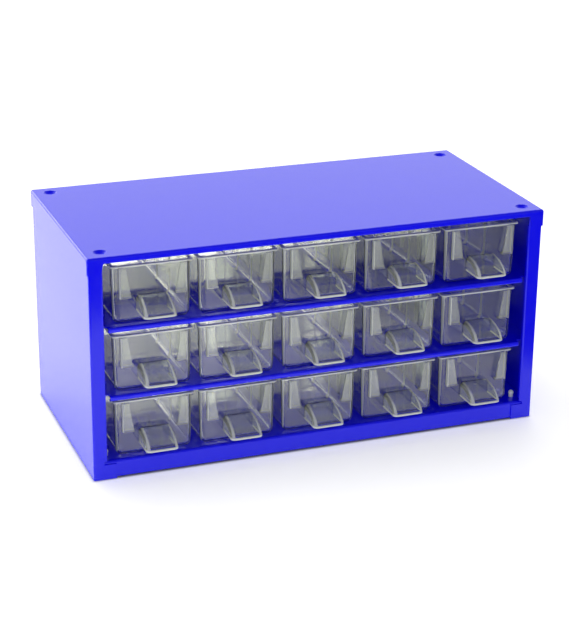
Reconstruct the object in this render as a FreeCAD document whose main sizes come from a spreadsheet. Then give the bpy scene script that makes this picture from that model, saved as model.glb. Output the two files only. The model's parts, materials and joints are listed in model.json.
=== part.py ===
# A small-parts cabinet: a folded sheet-steel case with fifteen clear drawers
# in three rows of five.  Millimetres, +Z up, +Y towards the back of the
# cabinet, +X to the right of somebody facing the drawers.  The origin is on
# the table, under the middle of the cabinet with its drawer handles.
import FreeCAD, Part
import os
import re

ROWS = 3
COLUMNS = 5

DIMENSIONS = (
    # folded steel
    ("gauge", 0.8),              # thickness of the steel sheet
    ("fold", 1.6),               # outer radius of a fold
    # top cover
    ("cover_wide", 306.0),
    ("cover_deep", 149.2),
    ("cover_skirt", 10.9),       # depth of the side and rear flanges
    ("cover_brow", 4.0),         # depth of the front flange over the drawers
    ("tab_wide", 8.4),           # flange left full depth at a front corner
    ("tab_slant", 2.0),          # its slanted inner corner
    ("brow_return", 3.0),        # lower edge of the brow, turned in
    ("dimple_inset", 11.0),      # stacking dimple, from the cover's edges
    ("dimple_top", 8.6),         # its diameter at the top
    ("dimple_floor", 5.6),       # its diameter at the bottom
    ("dimple_deep", 1.5),
    # case
    ("case_high", 147.6),
    ("case_lift", 0.6),          # table to the lowest steel edge
    ("strip_wide", 9.9),        # front flange of a side wall
    ("strip_return", 3.0),       # its inner edge, turned back
    ("toe_reach", 5.7),          # foot of that flange, past the strip
    ("toe_high", 9.8),
    ("notch", 2.2),              # relief cut in the inner corner
    ("base_top", 12.5),          # level that the lowest drawers slide on
    ("base_clear", 1.4),         # table to the lower edge of the base strip
    ("shelf_low_top", 56.2),
    ("shelf_high_top", 101.3),
    ("shelf_lip", 3.3),          # depth of a shelf's front lip
    ("shelf_return", 3.0),       # its lower edge, turned in
    ("shelf_setback", 1.0),      # lip, from the front of the cover
    ("lip_short", 12.7),         # end of the lip, from the cover's side
    ("shelf_notch", 4.0),        # corner cut that clears the strip's return
    ("stop_wide", 14.0),         # tab bent up from a rear flange, behind a drawer
    ("stop_high", 4.0),
    # guide strips between the drawers
    ("guide_wide", 3.2),
    ("guide_high", 2.0),
    ("guide_long", 112.0),
    ("guide_setback", 22.0),     # front end, from the front of the cover
    # plug-in feet
    ("foot_wide", 8.0),
    ("foot_stem", 3.0),
    ("foot_hole", 3.4),
    ("foot_bulb", 3.6),
    ("bulb_rise", 2.8),          # centre of the bulb, over the base
    # drawers
    ("drawer_pitch", 55.56),
    ("drawer_setback", 5.5),     # drawer front, from the front of the cover
    ("drawer_long", 139.4),
    ("drawer_high", 37.6),
    ("drawer_foot", 49.14),       # width at the bottom
    ("drawer_head", 50.8),       # width under the rim
    ("drawer_wall", 1.3),
    ("drawer_corner", 4.0),      # outer radius of corners and bottom edges
    ("slide_gap", 0.3),          # drawer bottom over its shelf
    ("rim_proud", 0.8),
    ("rim_high", 1.2),
    ("rim_corner", 1.6),         # radius of the rim's own corners
    ("rim_edge", 0.35),          # radius of its upper and lower edges
    # cup handle
    ("handle_wide", 21.0),
    ("handle_reach", 18.6),
    ("handle_foot", 8.4),        # lower edge, from the drawer's bottom
    ("handle_rise", 9.6),
    ("handle_wall", 1.2),
    ("handle_round", 2.8),
    ("lip_bead", 0.7),           # radius of the bead along the lower edge
    # label holder wings
    ("wing_outer", 21.4),        # half widths from the drawer's middle
    ("wing_inner_foot", 14.0),
    ("wing_inner_head", 17.2),
    ("wing_foot", 17.4),         # lower edge, from the drawer's bottom
    ("wing_head", 36.6),
    ("wing_stand", 3.4),         # how far it stands off the drawer front
    ("wing_wall", 1.0),
    ("wing_round", 0.8),         # radius of its outer front corner
    # divider slots
    ("slot_first", 42.8),        # middle of the first slot, from the front
    ("slot_step", 27.0),
    ("slot_gap", 1.4),
    ("rib_thick", 1.0),
    ("rib_proud", 1.2),
)

SLOTS = 3

doc = FreeCAD.newDocument("parts_organizer")
sheet = doc.addObject("Spreadsheet::Sheet", "dims")
for index, (alias, number) in enumerate(DIMENSIONS, start=1):
    sheet.set(f"A{index}", alias)
    sheet.set(f"B{index}", str(number))
    sheet.setAlias(f"B{index}", alias)
doc.recompute()

ALIASES = {alias for alias, number in DIMENSIONS}
PARTS = []


# ---------------------------------------------------------------- helpers
def formula(text):
    """Turn 'cover_wide / 2' into an expression on the sheet's cells."""
    def cell(match):
        word = match.group(0)
        return f"dims.{word}" if word in ALIASES else word
    return re.sub(r"[a-z_]+", cell, text)


def value(text):
    """The number that such an expression has now."""
    numbers = {alias: sheet.get(alias) for alias in ALIASES}
    def cell(match):
        return repr(float(numbers[match.group(0)]))
    total = FreeCAD.Units.Quantity(re.sub(r"[a-z_]+", cell, text))
    return total.Value


def bind(thing, **properties):
    for name, text in properties.items():
        thing.setExpression(name, formula(text))
    return thing


def put(thing, x="0", y="0", z="0"):
    """Bind where an object stands."""
    for axis, text in zip("xyz", (x, y, z)):
        thing.setExpression(f"Placement.Base.{axis}", formula(f"({text}) * 1mm"))
    return thing


def turn(thing, axis, degrees):
    thing.Placement.Rotation = FreeCAD.Rotation(FreeCAD.Vector(*axis), degrees)
    return thing


def box(name, x, y, z):
    """A block from a (from, to) pair of expressions along each axis."""
    block = doc.addObject("Part::Box", name)
    bind(block, Length=f"({x[1]}) - ({x[0]})", Width=f"({y[1]}) - ({y[0]})",
         Height=f"({z[1]}) - ({z[0]})")
    return put(block, x[0], y[0], z[0])


def cylinder(name, radius, length, x="0", y="0", z="0"):
    rod = doc.addObject("Part::Cylinder", name)
    bind(rod, Radius=radius, Height=length)
    return put(rod, x, y, z)


def wedge(name, foot, head, y, z):
    """A block that is (x from, x to) wide at its foot and at its head."""
    block = turn(doc.addObject("Part::Wedge", name), (1, 0, 0), 90)
    bind(block, Xmin=foot[0], Xmax=foot[1], X2min=head[0], X2max=head[1],
         Ymin="0", Ymax=f"({z[1]}) - ({z[0]})",
         Zmin=f"-({y[1]})", Zmax=f"-({y[0]})", Z2min=f"-({y[1]})", Z2max=f"-({y[0]})")
    return put(block, z=z[0])


def fuse(name, *things):
    whole = doc.addObject("Part::MultiFuse", name)
    whole.Shapes = list(things)
    whole.Refine = True
    return whole


def cut(name, base, *tools):
    tool = tools[0] if len(tools) == 1 else fuse(f"{name}_tools", *tools)
    rest = doc.addObject("Part::Cut", name)
    rest.Base = base
    rest.Tool = tool
    return rest


def common(name, first, second):
    shared = doc.addObject("Part::Common", name)
    shared.Base = first
    shared.Tool = second
    return shared


def round_edges(name, base, wanted, radius):
    """Fillet the edges of base whose ends satisfy wanted(start, end)."""
    doc.recompute()
    size = value(radius)
    picked = []
    for number, edge in enumerate(base.Shape.Edges, start=1):
        ends = [vertex.Point for vertex in edge.Vertexes]
        if wanted(ends[0], ends[-1]):
            picked.append((number, size, size))
    rounded = doc.addObject("Part::Fillet", name)
    rounded.Base = base
    rounded.Edges = picked
    return rounded


def upright(start, end):
    return abs(start.x - end.x) < 1 and abs(start.y - end.y) < 1


def at_height(level):
    def test(start, end):
        return abs(start.z - level) < 0.01 and abs(end.z - level) < 0.01
    return test


def front_edge(front, level):
    """The edge across the cabinet at this front and level."""
    y, z = value(front), value(level)
    def test(start, end):
        return (at_height(z)(start, end) and abs(start.y - y) < 0.01 and abs(end.y - y) < 0.01
                and abs(start.x - end.x) > 100)
    return test


def part(thing, label):
    thing.Label = label
    PARTS.append(thing)
    return thing


# ------------------------------------------------- places shared by pieces
HALF = "cover_wide / 2"
FRONT = "(handle_reach - drawer_setback - cover_deep) / 2"
BACK = f"{FRONT} + cover_deep"
WALL_OUT = f"{HALF} - gauge"
WALL_IN = f"{HALF} - 2 * gauge"
LEVELS = ("shelf_high_top", "shelf_low_top", "base_top")


def column_x(column):
    return f"{column - (COLUMNS - 1) / 2} * drawer_pitch"


# --------------------------------------------------------------- top cover
def top_cover():
    """Flat top with four flanges, a shallow brow between two corner tabs."""
    skirt = "case_high - cover_skirt"
    outer = box("cover_outer", (f"-{HALF}", HALF), (FRONT, BACK), (skirt, "case_high"))
    doc.recompute()
    top = value("case_high")
    outer = round_edges("cover_folds", outer,
                        lambda a, b: at_height(top)(a, b) or upright(a, b), "fold")
    inner = box("cover_inner", (f"-({WALL_OUT})", WALL_OUT),
                (f"{FRONT} + gauge", f"{BACK} - gauge"), (f"{skirt} - 1", "case_high - gauge"))
    top = value("case_high - gauge")
    inner = round_edges("cover_inner_folds", inner,
                        lambda a, b: at_height(top)(a, b) or upright(a, b), "fold - gauge")
    shell = cut("cover_shell", outer, inner)
    brow = "case_high - cover_brow"
    window = wedge("cover_window", (f"tab_wide - {HALF}", f"{HALF} - tab_wide"),
                   (f"tab_wide + tab_slant - {HALF}", f"{HALF} - tab_wide - tab_slant"),
                   (f"{FRONT} - 1", f"{FRONT} + 2 * gauge"), (skirt, f"{brow} + gauge"))
    span = (f"tab_wide + tab_slant - {HALF}", f"{HALF} - tab_wide - tab_slant")
    hem = box("cover_hem", span, (FRONT, f"{FRONT} + brow_return"), (brow, f"{brow} + gauge"))
    hem = round_edges("cover_hem_fold", hem, front_edge(FRONT, brow), "gauge * 0.9")
    steel = fuse("cover_steel", cut("cover_open", shell, window), hem)
    dishes, wells = [], []
    for side in (-1, 1):
        for end in (FRONT, BACK):
            inward = "dimple_inset" if end == FRONT else "-dimple_inset"
            spot = (f"{side} * ({HALF} - dimple_inset)", f"{end} + {inward}")
            for group, extra in ((dishes, "gauge"), (wells, "0")):
                cone = doc.addObject("Part::Cone", "dimple")
                bind(cone, Radius1=f"dimple_floor / 2 + {extra}",
                     Radius2=f"dimple_top / 2 + {extra}", Height="dimple_deep")
                put(cone, *spot, f"case_high - dimple_deep - {extra}")
                group.append(cone)
    dished = fuse("cover_dished", steel, *dishes)
    part(cut("cover", dished, *wells), "top_cover")


# -------------------------------------------------------------- side walls
def side_walls():
    """A wall with front and rear flanges; the front one has a toe."""
    low, high = "case_lift", "case_high - 2 * gauge"
    front, rear = f"{FRONT} + gauge", f"{BACK} - 2 * gauge"
    inner = f"{HALF} - strip_wide"
    block = box("wall_block", (inner, WALL_OUT), (front, rear), (low, high))
    corner = value(inner)
    near = value(front)
    block = round_edges("wall_folds", block,
                        lambda a, b: upright(a, b) and (a.x > corner + 1 or a.y < near + 1),
                        "fold - gauge / 2")
    hollow = box("wall_hollow", (f"{inner} + gauge", WALL_IN),
                 (f"{front} + gauge", f"{rear} - gauge"), (f"{low} - 1", f"{high} + 1"))
    opening = box("wall_opening", (f"{inner} - 1", f"{inner} + 2 * gauge"),
                  (f"{front} + strip_return", f"{rear} - gauge"), (f"{low} - 1", f"{high} + 1"))
    below = box("wall_return_foot", (f"{inner} - 1", f"{inner} + 2 * gauge"),
                (f"{front} + gauge", f"{rear} - gauge"), (f"{low} - 1", "base_top + notch"))
    above = box("wall_return_head", (f"{inner} - 1", f"{inner} + 2 * gauge"),
                (f"{front} + gauge", f"{rear} - gauge"),
                ("case_high - cover_skirt", f"{high} + 1"))
    wall = cut("wall_open", block, hollow, opening, below, above)
    toe = box("wall_toe", (f"{inner} - toe_reach", f"{inner} + fold"),
              (front, f"{front} + gauge"), (low, f"{low} + toe_high"))
    relief = box("wall_relief", (f"{inner} - gauge", f"{inner} + notch"),
                 (f"{front} - 1", f"{front} + gauge"),
                 (f"{low} + toe_high", f"{low} + toe_high + notch"))
    right = cut("wall_right", fuse("wall_with_toe", wall, toe), relief)
    part(right, "side_right")
    left = doc.addObject("Part::Mirroring", "wall_left")
    left.Source = right
    left.Normal = FreeCAD.Vector(1, 0, 0)
    part(left, "side_left")


# ------------------------------------------------------------ base, shelves
# The cabinet is open at the back.  Tabs bent up from the rear flanges of the
# base and the shelves stop the drawers there.
def rear_tabs(level, rear):
    """The tabs behind the drawers, and the gaps they leave in the flange."""
    tabs, gaps = [], []
    for column in range(COLUMNS):
        middle = f"({column_x(column)})"
        width = (f"{middle} - stop_wide / 2", f"{middle} + stop_wide / 2")
        tab = box("stop_tab", width, (f"{rear} - gauge", rear),
                  (f"{level} - gauge", f"{level} + stop_high"))
        top = value(f"{level} + stop_high")
        tabs.append(round_edges("stop_tab_rounded", tab,
                                lambda a, b: abs(a.y - b.y) > 0.1
                                and at_height(top)(a, b), "gauge * 2"))
        gaps.append(box("stop_gap", width, (f"{rear} - gauge", f"{rear} + 1"),
                        (f"{level} - base_top", f"{level} - gauge")))
    return tabs, gaps


def foot_spots():
    """Feet stand under the stacking dimples."""
    for side_name, side in (("left", -1), ("right", 1)):
        for end_name, y in (("front", f"{FRONT} + dimple_inset"),
                            ("rear", f"{BACK} - dimple_inset")):
            yield f"{end_name}_{side_name}", f"{side} * ({HALF} - dimple_inset)", y


def base_panel():
    """A tray turned upside down, with a hole for each foot."""
    span = (f"-({WALL_IN})", WALL_IN)
    run = (f"{FRONT} + 2 * gauge", f"{BACK} - 3 * gauge")
    block = box("base_block", span, run, ("base_clear", "base_top"))
    top = value("base_top")
    back = value(run[1])
    block = round_edges("base_folds", block,
                        lambda a, b: at_height(top)(a, b) and min(a.y, b.y) < back - 1, "fold")
    inner = box("base_inner", (f"gauge - ({WALL_IN})", f"{WALL_IN} - gauge"),
                (f"{run[0]} + gauge", f"{run[1]} - gauge"), ("base_clear - 1", "base_top - gauge"))
    holes = []
    for name, x, y in foot_spots():
        holes.append(cylinder("base_hole", "foot_hole / 2", "base_top", x, y, "base_clear"))
    tabs, gaps = rear_tabs("base_top", run[1])
    tray = cut("base_tray", block, inner, *holes, *gaps)
    part(fuse("base", tray, *tabs), "base_panel")


def shelf(label, level):
    """A plate with flanges at the sides and rear and a rolled lip in front."""
    lip_end = f"{HALF} - lip_short"
    front = f"{FRONT} + shelf_setback"
    rear = f"{BACK} - 3 * gauge"
    low = f"{level} - shelf_lip"
    block = box("shelf_block", (f"-({WALL_IN})", WALL_IN), (front, rear), (low, level))
    block = round_edges("shelf_fold", block, front_edge(front, level), "fold - gauge / 2")
    inner = box("shelf_inner", (f"gauge - ({WALL_IN})", f"{WALL_IN} - gauge"),
                (f"{front} + gauge", f"{rear} - gauge"), (f"{low} - 1", f"{level} - gauge"))
    corners = []
    for side in (-1, 1):
        edges = (lip_end, f"{HALF} + 1") if side > 0 else (f"-({HALF} + 1)", f"-({lip_end})")
        corners.append(box("shelf_corner", edges, (f"{front} - 1", f"{front} + shelf_notch"),
                           (f"{low} - 1", f"{level} + 1")))
    hem = box("shelf_hem", (f"-({lip_end})", lip_end), (front, f"{front} + shelf_return"),
              (low, f"{low} + gauge"))
    tabs, gaps = rear_tabs(level, rear)
    plate = fuse("shelf_plate", cut("shelf_notched", block, inner, *corners, *gaps), hem, *tabs)
    part(round_edges("shelf", plate, front_edge(front, low), "fold - gauge / 2"), label)


# ------------------------------------------------------------------- feet
def feet():
    """A plug-in foot: a wide leg, a stem through the base and a bulb."""
    for name, x, y in foot_spots():
        leg = cylinder("foot_leg", "foot_wide / 2", "base_top - gauge")
        leg = round_edges("foot_sole", leg, at_height(0), "gauge")
        stem = cylinder("foot_stem", "foot_stem / 2", "bulb_rise + gauge", z="base_top - gauge")
        bulb = doc.addObject("Part::Sphere", "foot_bulb")
        bind(bulb, Radius="foot_bulb / 2")
        put(bulb, z="base_top + bulb_rise")
        part(put(fuse("foot", leg, stem, bulb), x, y), f"foot_{name}")


# ------------------------------------------------------------ guide strips
def guide_strips():
    """Six rounded strips on each level keep the drawers in their columns."""
    for label, level in zip(("guides_upper", "guides_middle", "guides_lower"), LEVELS):
        strips = []
        for gap in range(COLUMNS + 1):
            x = f"({column_x(gap)}) - drawer_pitch / 2"
            strip = box("guide", (f"{x} - guide_wide / 2", f"{x} + guide_wide / 2"),
                        (f"{FRONT} + guide_setback", f"{FRONT} + guide_setback + guide_long"),
                        (level, f"{level} + guide_high"))
            crown = value(f"{level} + guide_high")
            strips.append(round_edges("guide_rounded", strip, at_height(crown), "guide_wide / 4"))
        group = doc.addObject("Part::Compound", "guides")
        group.Links = strips
        part(group, label)


# ---------------------------------------------------------------- drawers
# A drawer is drawn about its own origin: the middle of its front, at its
# bottom.  x is across, y runs back and z runs up.
def drawer_tub():
    high = "drawer_high - rim_high"
    outer = wedge("tub_outer", ("-drawer_foot / 2", "drawer_foot / 2"),
                  ("-drawer_head / 2", "drawer_head / 2"), ("0", "drawer_long"), ("0", high))
    doc.recompute()
    top = value(high)
    outer = round_edges("tub_corners", outer, lambda a, b: not at_height(top)(a, b),
                        "drawer_corner")
    rim = box("tub_rim", ("-(drawer_head / 2 + rim_proud)", "drawer_head / 2 + rim_proud"),
              ("-rim_proud", "drawer_long + rim_proud"), (high, "drawer_high"))
    rim = round_edges("tub_rim_corners", rim, upright, "rim_corner")
    crest = value("drawer_high")
    rim = round_edges("tub_rim_edges", rim, lambda a, b: at_height(top)(a, b)
                      or at_height(crest)(a, b), "rim_edge")
    inner = wedge("tub_inner", ("drawer_wall - drawer_foot / 2", "drawer_foot / 2 - drawer_wall"),
                  ("drawer_wall - drawer_head / 2", "drawer_head / 2 - drawer_wall"),
                  ("drawer_wall", "drawer_long - drawer_wall"),
                  ("drawer_wall", "drawer_high + drawer_wall"))
    lid = value("drawer_high + drawer_wall")
    inner = round_edges("tub_hollow", inner, lambda a, b: not at_height(lid)(a, b),
                        "drawer_corner - drawer_wall")
    tub = cut("tub", fuse("tub_solid", outer, rim), inner)
    return fuse("tub_ribbed", tub, drawer_ribs(inner))


def drawer_ribs(hollow):
    """Pairs of upright ribs on both walls, to hold dividers."""
    planes = []
    for slot in range(SLOTS):
        for side in (-1, 1):
            middle = f"slot_first + {slot} * slot_step + {side} * (slot_gap + rib_thick) / 2"
            planes.append(box("rib_plane", ("-drawer_head / 2", "drawer_head / 2"),
                              (f"{middle} - rib_thick / 2", f"{middle} + rib_thick / 2"),
                              ("drawer_wall / 2", "drawer_high - rim_high")))
    sheet_of_ribs = fuse("rib_planes", *planes)
    reach = "drawer_wall + rib_proud"
    middle_space = wedge("rib_space", (f"{reach} - drawer_foot / 2", f"drawer_foot / 2 - {reach}"),
                         (f"{reach} - drawer_head / 2", f"drawer_head / 2 - ({reach})"),
                         ("0", "drawer_long"), ("0", "drawer_high"))
    ribs = cut("rib_pairs", sheet_of_ribs, middle_space)
    envelope = wedge("rib_envelope",
                     ("drawer_wall / 2 - drawer_foot / 2", "drawer_foot / 2 - drawer_wall / 2"),
                     ("drawer_wall / 2 - drawer_head / 2", "drawer_head / 2 - drawer_wall / 2"),
                     ("0", "drawer_long"), ("drawer_corner", "drawer_high - rim_high"))
    return common("ribs", ribs, envelope)


def elliptic_bar(name, reach, rise, half):
    """A bar across the drawer with an elliptical section."""
    outline = turn(doc.addObject("Part::Ellipse", f"{name}_outline"), (0, 0, 1), 90)
    bind(outline, MajorRadius=reach, MinorRadius=rise)
    outline.Placement.Rotation = (FreeCAD.Rotation(FreeCAD.Vector(0, 0, 1), 90)
                                  * FreeCAD.Rotation(FreeCAD.Vector(1, 0, 0), 90))
    put(outline, x=f"-({half})", z="handle_foot")
    bar = doc.addObject("Part::Extrusion", name)
    bar.Base = outline
    bar.DirMode = "Custom"
    bar.Dir = FreeCAD.Vector(1, 0, 0)
    bar.Solid = True
    bind(bar, LengthFwd=f"2 * ({half})")
    return bar


def cup_handle():
    """A hood with two cheeks, open underneath, with a beaded lower edge."""
    half = "handle_wide / 2"
    hood = elliptic_bar("hood_bar", "handle_reach", "handle_rise", half)
    quarter = box("hood_quarter", (f"-({half})", half), ("-handle_reach", "0"),
                  ("handle_foot", "handle_foot + handle_rise"))
    hood = common("hood", hood, quarter)
    doc.recompute()
    hood = round_edges("hood_rounded", hood, lambda a, b: abs(a.z - b.z) > 1
                       and abs(a.y - b.y) > 1, "handle_round")
    hollow = elliptic_bar("hood_hollow", "handle_reach - handle_wall",
                          "handle_rise - handle_wall", f"{half} - handle_wall")
    cup = cut("cup", hood, hollow)
    bead = turn(doc.addObject("Part::Cylinder", "cup_bead"), (0, 1, 0), 90)
    bind(bead, Radius="lip_bead", Height="handle_wide - 2 * handle_round")
    put(bead, "handle_round - handle_wide / 2", "lip_bead - handle_reach", "handle_foot + lip_bead / 2")
    return fuse("cup_beaded", cup, bead)


def label_wings():
    """Two open-topped holders that take the ends of a label card."""
    pieces = []
    rise = ("wing_foot", "wing_head")
    stand = ("-wing_stand", "drawer_wall / 2")
    face = ("-wing_stand", "wing_wall - wing_stand")
    for side in (-1, 1):
        def span(near, far, side=side):
            return (near, far) if side > 0 else (f"-({far})", f"-({near})")
        pieces.append(wedge("wing_face", span("wing_inner_foot", "wing_outer"),
                            span("wing_inner_head", "wing_outer"), face, rise))
        pieces.append(box("wing_side", span("wing_outer - wing_wall", "wing_outer"), stand, rise))
        pieces.append(box("wing_sill", span("wing_inner_foot", "wing_outer"), stand,
                          ("wing_foot", "wing_foot + wing_wall")))
    outer, stand_off = value("wing_outer"), value("wing_stand")
    return round_edges("wings_rounded", fuse("wings", *pieces),
                       lambda a, b: abs(a.z - b.z) > 5 and abs(a.x) > outer - 0.01
                       and a.y < 0.01 - stand_off, "wing_round")


def drawers():
    tub = drawer_tub()
    fittings = fuse("drawer_fittings", cup_handle(), label_wings())
    for row, level in enumerate(LEVELS, start=1):
        for column in range(COLUMNS):
            drawer = fuse("drawer", tub, fittings)
            put(drawer, column_x(column), f"{FRONT} + drawer_setback", f"{level} + slide_gap")
            part(drawer, f"drawer_row{row}_col{column + 1}")


# ----------------------------------------------------------------- output
def check():
    for thing in doc.Objects:
        if {"Invalid", "Error"} & set(thing.State):
            raise RuntimeError(f"{thing.Name} ({thing.Label}) failed: {thing.State}")
    for thing in PARTS:
        if thing.Shape.isNull() or not thing.Shape.isValid() or not thing.Shape.Solids:
            raise RuntimeError(f"{thing.Label} has no valid shape")


def write():
    os.makedirs("parts", exist_ok=True)
    for thing in PARTS:
        thing.Shape.exportStep(f"parts/{thing.Label}.step")
        extent = thing.Shape.BoundBox
        print(f"{thing.Label:22s} {len(thing.Shape.Solids):2d} solids "
              f"{thing.Shape.Volume:10.0f} mm3  x {extent.XMin:7.2f} {extent.XMax:7.2f}  "
              f"y {extent.YMin:7.2f} {extent.YMax:7.2f}  z {extent.ZMin:7.2f} {extent.ZMax:7.2f}")


top_cover()
side_walls()
base_panel()
shelf("shelf_upper", "shelf_high_top")
shelf("shelf_lower", "shelf_low_top")
guide_strips()
feet()
drawers()
doc.recompute()
check()
write()
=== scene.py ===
import json
import math

import bpy
from mathutils import Matrix, Vector


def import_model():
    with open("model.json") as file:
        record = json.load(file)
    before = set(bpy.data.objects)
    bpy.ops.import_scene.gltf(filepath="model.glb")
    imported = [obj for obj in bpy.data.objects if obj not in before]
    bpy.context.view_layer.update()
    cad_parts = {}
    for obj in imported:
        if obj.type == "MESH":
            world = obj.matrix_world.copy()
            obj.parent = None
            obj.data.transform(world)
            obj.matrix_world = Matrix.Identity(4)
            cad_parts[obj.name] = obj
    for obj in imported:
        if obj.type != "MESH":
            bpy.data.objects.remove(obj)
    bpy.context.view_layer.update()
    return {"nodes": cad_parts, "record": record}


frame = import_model()


# ------------------------------------------------------------- node helpers
class Tree:
    """A node tree that is built socket by socket."""

    def __init__(self, owner):
        owner.use_nodes = True
        self.owner = owner
        self.nodes = owner.node_tree.nodes
        self.links = owner.node_tree.links
        self.nodes.clear()

    def add(self, kind, inputs=None, **settings):
        node = self.nodes.new("ShaderNode" + kind)
        for key, setting in settings.items():
            setattr(node, key, setting)
        for key, source in (inputs or {}).items():
            socket = node.inputs[key]
            if isinstance(source, bpy.types.NodeSocket):
                self.links.new(source, socket)
            else:
                socket.default_value = source
        return node

    def noise(self, place, scale, detail=2.0):
        made = self.add("TexNoise", {"Vector": place, "Scale": scale, "Detail": detail})
        return made.outputs["Fac"]

    def ramp(self, factor, low, high, start=0.3, end=0.7):
        made = self.add("MapRange", {"Value": factor, "From Min": start, "From Max": end,
                                     "To Min": low, "To Max": high})
        return made.outputs["Result"]

    def blend(self, factor, low, high):
        """A colour between two constant colours."""
        made = self.add("Mix", {"Factor": factor}, data_type="RGBA")
        ends = [socket for socket in made.inputs if socket.type == "RGBA"]
        ends[0].default_value = (*low, 1.0)
        ends[1].default_value = (*high, 1.0)
        return next(socket for socket in made.outputs if socket.type == "RGBA")

    def bump(self, height, strength, distance):
        made = self.add("Bump", {"Height": height, "Strength": strength, "Distance": distance})
        return made.outputs["Normal"]

    def math(self, operation, *sources):
        made = self.add("Math", dict(enumerate(sources)), operation=operation)
        return made.outputs["Value"]

    def inside(self, along, low, high, soft=0.0003):
        """1 where a coordinate is between low and high, fading out beyond them."""
        over = self.ramp(along, 0.0, 1.0, low - soft, low)
        under = self.ramp(along, 1.0, 0.0, high, high + soft)
        return self.math("MULTIPLY", over, under)


def material(name):
    tree = Tree(bpy.data.materials.new(name))
    return tree, tree.add("TexCoord").outputs["Object"]


# ---------------------------------------------------------------- materials
PITCH = 0.05556                             # from drawer to drawer
FACE = -0.06255                             # front of the drawers
HANDLE_LEVELS = (0.0212, 0.0649, 0.1100)    # lower edges of the handles
UNDER_HANDLE = 0.0100                       # down into the gap below a drawer
HANDLE_REACH = 0.0186
HANDLE_RISE = 0.0096
SLOT_FIRST = 0.0428                         # divider slots, from the face
SLOT_STEP = 0.0270

# Where the parts of a drawer lie within it, each from a low to a high value; they place the
# painted highlights on the drawers' edges.
FAR = 1.0                                   # well past any drawer
AHEAD = (-FAR, -0.0006)                     # back: in front of the face
CORNER_DEPTH = (-0.0005, 0.0030)            # back: the face's rounded corners
RIB_DEPTH = (0.035, 0.105)                  # back: the stretch that has ribs
CHEEKS = (0.0082, 0.0110)                   # across: the handle's two sides
LIP_WIDTH = (-FAR, 0.0110)                  # across: the handle's lower edge
WINGS = (0.0112, 0.0220)                    # across: the label holder's wings
WING_EDGES = (0.0209, 0.0220)               # across: their outer edges
RIB_WALL = (0.0218, 0.0236)                 # across: the ribs on the side walls
CORNERS = (0.0240, 0.0275)                  # across: the face's corners
LIP = (-0.0006, 0.0008)                     # up: the handle's lower edge
HANDLE_HEIGHT = (0.0, 0.0100)               # up: the handle
RIM = (0.0283, 0.0297)                      # up: the rolled rim
RIB_HALF = (-FAR, 0.0017)                   # from the middle of a rib
BRIM = (0.90, 1.5)                          # outer part of the handle's curve
BRIM_SOFT = 0.02


def powder_coat():
    """Glossy powder coat on steel: deep blue with a faint orange peel."""
    tree, place = material("powder_coat_blue")
    colour = tree.blend(tree.noise(place, 35.0), (0.0, 0.0, 0.95), (0.001, 0.0, 1.0))
    roughness = tree.ramp(tree.noise(place, 260.0), 0.12, 0.17)
    peel = tree.bump(tree.noise(place, 900.0, 1.0), 0.05, 0.0004)
    shader = tree.add("BsdfPrincipled", {"Base Color": colour, "Roughness": roughness,
                                         "IOR": 1.5, "Normal": peel})
    tree.add("OutputMaterial", {"Surface": shader.outputs["BSDF"]})
    return tree.owner


def painted_edge_highlights(tree, place):
    """How strongly painted highlights whiten the drawers' edges, wings and ribs, from 0 to 1.

    Coordinates are taken within each drawer: across from its middle, back
    from its face and up from the lower edge of its handle."""
    split = tree.add("SeparateXYZ", {"Vector": place}).outputs
    across = tree.math("ABSOLUTE", tree.math("WRAP", split["X"], PITCH / 2, -PITCH / 2))
    back = tree.math("SUBTRACT", split["Y"], FACE)
    up = tree.math("SUBTRACT", split["Z"], HANDLE_LEVELS[0])
    for below, above in zip(HANDLE_LEVELS, HANDLE_LEVELS[1:]):
        higher = tree.math("GREATER_THAN", split["Z"], above - UNDER_HANDLE)
        up = tree.math("SUBTRACT", up, tree.math("MULTIPLY", higher, above - below))
    ahead = tree.inside(back, *AHEAD)
    cheek = tree.math("MULTIPLY", ahead, tree.inside(across, *CHEEKS))
    reach = tree.math("POWER", tree.math("DIVIDE", back, HANDLE_REACH), 2.0)
    rise = tree.math("POWER", tree.math("DIVIDE", up, HANDLE_RISE), 2.0)
    brim = tree.inside(tree.math("ADD", reach, rise), *BRIM, BRIM_SOFT)
    brim = tree.math("MULTIPLY", brim, tree.inside(up, *HANDLE_HEIGHT))
    lip = tree.math("MULTIPLY", tree.inside(up, *LIP), tree.inside(across, *LIP_WIDTH))
    slot = tree.math("SUBTRACT", back, SLOT_FIRST)
    slot = tree.math("ABSOLUTE", tree.math("WRAP", slot, SLOT_STEP / 2, -SLOT_STEP / 2))
    rib = tree.math("MULTIPLY", tree.inside(slot, *RIB_HALF), tree.inside(across, *RIB_WALL))
    # Each mask with how strongly its painted highlight whitens the plastic there.
    highlight_marks = (
        (cheek, 0.10),
        (tree.math("MULTIPLY", cheek, brim), 0.36),
        (tree.math("MULTIPLY", ahead, lip), 0.60),
        (tree.math("MULTIPLY", ahead, tree.inside(across, *WINGS)), 0.13),
        (tree.math("MULTIPLY", ahead, tree.inside(across, *WING_EDGES)), 0.50),
        (tree.math("MULTIPLY", tree.inside(back, *CORNER_DEPTH),
                   tree.inside(across, *CORNERS)), 0.30),
        (tree.math("MULTIPLY", tree.inside(back, *RIB_DEPTH), rib), 0.35),
        (tree.inside(up, *RIM), 0.55),
    )
    painted_whitening = 0.0
    for mask, weight in highlight_marks:
        painted_whitening = tree.math("MAXIMUM", painted_whitening, tree.math("MULTIPLY", mask, weight))
    return painted_whitening


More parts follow.
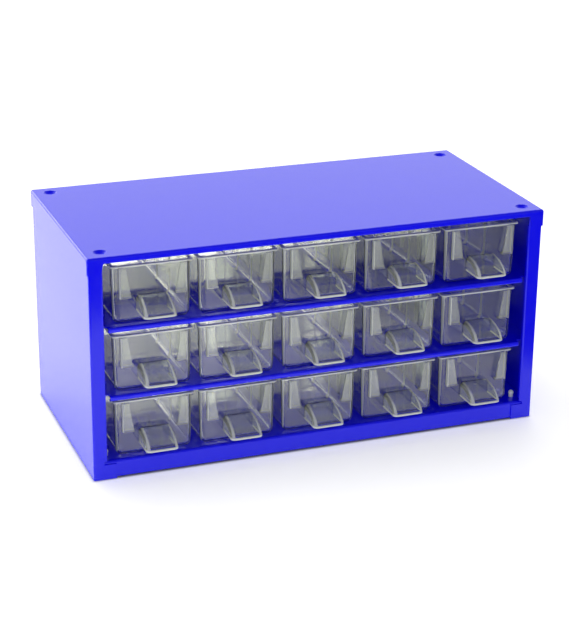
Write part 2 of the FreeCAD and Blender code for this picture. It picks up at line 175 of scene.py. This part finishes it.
def clear_styrene():
    """Clear polystyrene with a trace of grey green, and painted highlights that make its moulded
    edges light.
    """
    tree, place = material("clear_styrene")
    flow = tree.noise(place, 60.0)
    tint = tree.blend(flow, (0.925, 0.955, 0.915), (0.95, 0.98, 0.94))
    # Painted sheen: the plastic is made less clear, so whiter, towards grazing angles.
    facing = tree.add("LayerWeight", {"Blend": 0.5}).outputs["Facing"]
    clear = tree.math("MULTIPLY", tree.ramp(facing, 0.99, 0.40, 0.82, 1.0),
                      tree.math("SUBTRACT", 1.0, painted_edge_highlights(tree, place)))
    glass = tree.add("BsdfPrincipled", {"Base Color": tint, "IOR": 1.59,
                                        "Roughness": tree.ramp(flow, 0.008, 0.02),
                                        "Transmission Weight": clear,
                                        "Normal": tree.bump(flow, 0.02, 0.001)})
    see = tree.add("BsdfTransparent", {"Color": (0.94, 0.945, 0.92, 1.0)})
    path = tree.add("LightPath")
    mixed = tree.add("MixShader", {"Fac": path.outputs["Is Shadow Ray"],
                                   1: glass.outputs["BSDF"], 2: see.outputs["BSDF"]})
    tree.add("OutputMaterial", {"Surface": mixed.outputs["Shader"]})
    return tree.owner


def white_nylon():
    """Satin white nylon of the feet, with a fine moulded grain."""
    tree, place = material("white_nylon")
    grain = tree.noise(place, 700.0, 3.0)
    colour = tree.blend(tree.noise(place, 90.0), (0.94, 0.94, 0.92), (0.98, 0.98, 0.96))
    shader = tree.add("BsdfPrincipled", {"Base Color": colour,
                                         "Roughness": tree.ramp(grain, 0.32, 0.5),
                                         "Subsurface Weight": 0.15, "Subsurface Scale": 0.002,
                                         "Normal": tree.bump(grain, 0.15, 0.0002)})
    tree.add("OutputMaterial", {"Surface": shader.outputs["BSDF"]})
    return tree.owner


MATERIALS = {
    "steel_blue": powder_coat(),
    "clear_styrene": clear_styrene(),
    "nylon_white": white_nylon(),
}
for entry in frame["record"]["subparts"]:
    node = frame["nodes"][entry["node"]]
    node.data.materials.clear()
    node.data.materials.append(MATERIALS[entry["material_slot"]])


# -------------------------------------------------------------------- stage
def sheet(name, corners, surface, unseen_by=()):
    """A flat piece of the stage, which the named kinds of ray pass by."""
    mesh = bpy.data.meshes.new(name)
    mesh.from_pydata(corners, [], [(0, 1, 2, 3)])
    mesh.materials.append(surface)
    thing = bpy.data.objects.new(name, mesh)
    bpy.context.scene.collection.objects.link(thing)
    for kind in unseen_by:
        setattr(thing, "visible_" + kind, False)


FLOOR_HALF = 6.0
FOOTPRINT_X = (-0.152, 0.152)
FOOTPRINT_Y = (-0.066, 0.080)
FOOTPRINT_SOFT = 0.002


def floor():
    """A white table with a faint glow, stronger on the left: painted light, with a painted contact
    shadow where the glow is taken away under the cabinet.
    """
    tree, place = material("table_painted_glow")
    along = tree.add("SeparateXYZ", {"Vector": place}).outputs
    # Painted pools of light: more glow to the left towards the rear, and a little near the front.
    left = tree.ramp(along["X"], 1.0, 0.0, -0.19, -0.13)
    rear = tree.ramp(along["Y"], 0.0, 1.0, -0.2, 0.15)
    near = tree.math("MULTIPLY", tree.ramp(along["X"], 1.0, 0.0, -0.05, 0.2),
                     tree.ramp(along["Y"], 1.0, 0.0, -0.15, -0.05))
    lit = tree.math("MAXIMUM", tree.math("MULTIPLY", left, rear), tree.math("MULTIPLY", near, 0.3))
    # Painted contact shadow: no glow over the cabinet's footprint.
    beneath = tree.math("MULTIPLY", tree.inside(along["X"], *FOOTPRINT_X, FOOTPRINT_SOFT),
                        tree.inside(along["Y"], *FOOTPRINT_Y, FOOTPRINT_SOFT))
    outside_painted_shadow = tree.math("SUBTRACT", 1.0, beneath)
    glow = tree.math("MULTIPLY", tree.ramp(lit, 0.42, 0.85, 0.0, 1.0), outside_painted_shadow)
    shader = tree.add("BsdfPrincipled", {"Base Color": (0.93, 0.93, 0.93, 1.0), "IOR": 1.3,
                                         "Roughness": tree.ramp(tree.noise(place, 8.0), 0.5, 0.6),
                                         "Emission Color": (1.0, 1.0, 1.0, 1.0),
                                         "Emission Strength": glow})
    tree.add("OutputMaterial", {"Surface": shader.outputs["BSDF"]})
    half = FLOOR_HALF
    corners = [(-half, -half, 0), (half, -half, 0), (half, half, 0), (-half, half, 0)]
    sheet("floor", corners, tree.owner)


# Painted reflections on the glowing card behind the cabinet: a pale stripe for each row, by
# height, and upright patches, by place across, which the drawers and the steel mirror as light
# bands and streaks.
REFLECTION_STRIPES = ((0.042, 0.050), (0.078, 0.086), (0.117, 0.125))
REFLECTION_PATCHES = ((-0.150, -0.120), (-0.020, -0.006))
PATCH_SOFT = 0.004
PATCH_LEVEL = 0.6
CARD_Y = 0.101
CARD_TOP = 0.150
CARD_HALF = 0.150


def card():
    """A dim card glowing behind the open back, with a pale stripe for each row of drawers: painted
    reflections, dimmer towards the right.

    Only mirrored and refracted rays meet it, so it shows in the clear drawers
    and the gloss of the steel without lighting or shading anything."""
    tree, place = material("card_painted_reflections")
    along = tree.add("SeparateXYZ", {"Vector": place}).outputs
    pale = 0.0
    for low, high in REFLECTION_STRIPES:
        pale = tree.math("ADD", pale, tree.inside(along["Z"], low, high))
    for low, high in REFLECTION_PATCHES:
        patch = tree.inside(along["X"], low, high, PATCH_SOFT)
        patch = tree.math("MULTIPLY", patch, PATCH_LEVEL)
        pale = tree.math("MAXIMUM", pale, patch)
    # The painted reflections fade towards the right.
    sideways = tree.ramp(along["X"], 1.1, 0.08, 0.0, 0.10)
    glow = tree.math("MULTIPLY", tree.ramp(pale, 0.66, 3.4, 0.0, 1.0), sideways)
    lit = tree.add("Emission", {"Color": (1.0, 0.95, 0.85, 1.0), "Strength": glow})
    tree.add("OutputMaterial", {"Surface": lit.outputs["Emission"]})
    corners = [(-CARD_HALF, CARD_Y, 0), (CARD_HALF, CARD_Y, 0),
               (CARD_HALF, CARD_Y, CARD_TOP), (-CARD_HALF, CARD_Y, CARD_TOP)]
    sheet("card", corners, tree.owner, ("camera", "diffuse", "shadow"))


DARK_LEVEL = 0.0008                         # just above the table
DARK_LEFT, DARK_RIGHT = -1.2, 1.5
DARK_FRONT, DARK_BACK = -1.8, 0.6
RIGHT_SLANT, RIGHT_EDGE = 0.58, (0.26, 0.31)        # the card turns dark past this
FRONT_SLANT, FRONT_EDGE = 0.375, (-0.385, -0.35)    # and in front of this


def dark_card():
    """A dark sheet on the table in front and on the right, for mirrored rays only: a painted dark
    reflection in the gloss of the steel and the drawers.
    """
    tree, place = material("card_painted_dark_reflection")
    along = tree.add("SeparateXYZ", {"Vector": place}).outputs
    rightward = tree.math("MULTIPLY", along["Y"], RIGHT_SLANT)
    rightward = tree.math("SUBTRACT", along["X"], rightward)
    backward = tree.math("MULTIPLY", along["X"], FRONT_SLANT)
    backward = tree.math("ADD", along["Y"], backward)
    dark = tree.math("MAXIMUM", tree.ramp(rightward, 0.0, 1.0, *RIGHT_EDGE),
                     tree.ramp(backward, 1.0, 0.0, *FRONT_EDGE))
    clear = tree.add("BsdfTransparent")
    dim = tree.add("Emission", {"Color": (0.9, 0.9, 1.0, 1.0), "Strength": 0.03})
    mixed = tree.add("MixShader", {"Fac": dark, 1: clear.outputs["BSDF"],
                                   2: dim.outputs["Emission"]})
    tree.add("OutputMaterial", {"Surface": mixed.outputs["Shader"]})
    corners = [(DARK_LEFT, DARK_FRONT, DARK_LEVEL), (DARK_RIGHT, DARK_FRONT, DARK_LEVEL),
               (DARK_RIGHT, DARK_BACK, DARK_LEVEL), (DARK_LEFT, DARK_BACK, DARK_LEVEL)]
    sheet("dark_card", corners, tree.owner, ("camera", "diffuse", "transmission", "shadow"))


def world():
    """A dim room with a pale backdrop low behind the cabinet."""
    made = bpy.data.worlds.new("studio")
    bpy.context.scene.world = made
    tree = Tree(made)
    toward = tree.add("TexCoord").outputs["Generated"]
    along = tree.add("SeparateXYZ", {"Vector": toward}).outputs
    behind = tree.ramp(along["Y"], 0.4, 1.5, -0.3, 0.7)
    low = tree.ramp(along["Z"], 1.0, 0.45, 0.4, 0.95)
    sideways = tree.ramp(along["X"], 1.05, 0.75, -0.8, 0.8)
    level = tree.math("MULTIPLY", tree.math("MULTIPLY", behind, low), sideways)
    glow = tree.add("Background", {"Color": (1.0, 1.0, 1.0, 1.0), "Strength": level})
    tree.add("OutputWorld", {"Surface": glow.outputs["Background"]})


def softbox(name, place, target, size, radiance, mirrored=True):
    """A rectangular lamp; one that is not mirrored lights matt surfaces only."""
    data = bpy.data.lights.new(name, "AREA")
    data.shape = "RECTANGLE"
    data.size, data.size_y = size
    data.energy = radiance * math.pi * size[0] * size[1]
    lamp = bpy.data.objects.new(name, data)
    bpy.context.scene.collection.objects.link(lamp)
    lamp.location = place
    lamp.rotation_euler = (Vector(target) - Vector(place)).to_track_quat("-Z", "Y").to_euler()
    lamp.visible_glossy = mirrored
    lamp.visible_transmission = mirrored


CAMERA_TURN = (-20.501, 21.122, 0.594)      # azimuth, elevation and roll in degrees
CAMERA_PLACE = (-0.40326, -1.07589, 0.51226)
CAMERA_LENS = 104.96                        # in millimetres, like the sensor
CAMERA_SENSOR = 36.0
CAMERA_END = 50.0


def camera():
    """Looks down on the front from the left, turned a little about its own axis."""
    azimuth, elevation, roll = map(math.radians, CAMERA_TURN)
    back = Vector((math.sin(azimuth) * math.cos(elevation),
                   -math.cos(azimuth) * math.cos(elevation), math.sin(elevation)))
    level = Vector((0, 0, 1)).cross(back).normalized()
    upright = back.cross(level)
    right = math.cos(roll) * level + math.sin(roll) * upright
    up = back.cross(right)
    data = bpy.data.cameras.new("camera")
    data.sensor_width = CAMERA_SENSOR
    data.lens = CAMERA_LENS
    data.clip_end = CAMERA_END
    eye = bpy.data.objects.new("camera", data)
    bpy.context.scene.collection.objects.link(eye)
    turned = Matrix((right, up, back)).transposed().to_4x4()
    eye.matrix_world = Matrix.Translation(CAMERA_PLACE) @ turned
    bpy.context.scene.camera = eye


floor()
card()
dark_card()
world()
softbox("window", (-1.05, 2.7, 0.95), (0, 0, 0.05), (1.1, 0.7), 3.0)
softbox("front_fill", (-0.5, -1.7, 1.6), (0, 0, 0.1), (1.6, 1.0), 1.5, mirrored=False)
softbox("top_fill", (0.0, 0.5, 2.2), (0, 0, 0.1), (1.8, 1.8), 1.3, mirrored=False)
camera()
bpy.context.scene.view_settings.view_transform = "Standard"
